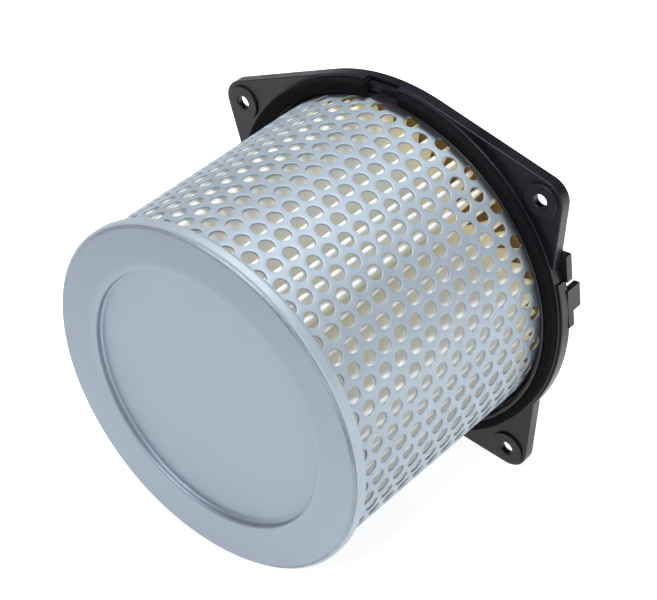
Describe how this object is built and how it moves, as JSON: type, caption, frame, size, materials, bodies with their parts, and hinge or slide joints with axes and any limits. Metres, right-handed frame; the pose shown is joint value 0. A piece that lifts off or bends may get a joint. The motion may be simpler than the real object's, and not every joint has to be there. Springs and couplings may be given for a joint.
{
  "type": "motorcycle air filter",
  "caption": "Drum air filter: pleated paper between perforated steel screens, closed by a steel cap and bonded to a plastic flange with four ears and a foam seal.",
  "frame": {"origin": "on the drum's axis, in the plane of the flat back of the flange's ears", "axes": "+Y along the drum's axis, out of the clean-air outlet; +Z along the flange's line of symmetry, towards the wider pair of ears"},
  "size_m": [0.1632, 0.1241, 0.1613],
  "materials": {
    "flange_plastic": "moulded black nylon, semi-matt",
    "seal_foam": "closed-cell foam rubber",
    "zinc_sheet": "zinc-plated steel sheet, satin",
    "zinc_screen": "zinc-plated perforated steel, satin",
    "inner_zinc_screen": "zinc-plated perforated steel, satin",
    "steel_gauze": "fine woven wire",
    "filter_paper": "resin-treated filter paper, cream",
    "seam_strip": "hot-melt coated strip",
    "adhesive": "cured amber potting adhesive"
  },
  "bodies": {
    "root": {"flange_frame": "flange_plastic", "foam_seal": "seal_foam", "end_cap": "zinc_sheet", "outer_screen": "zinc_screen", "inner_screen": "inner_zinc_screen", "gauze_sleeve": "steel_gauze", "pleated_paper": "filter_paper", "pleat_seam_strip": "seam_strip", "closed_end_adhesive": "adhesive", "open_end_adhesive": "adhesive", "flange_bond_bead": "adhesive"}
  },
  "joints": []
}
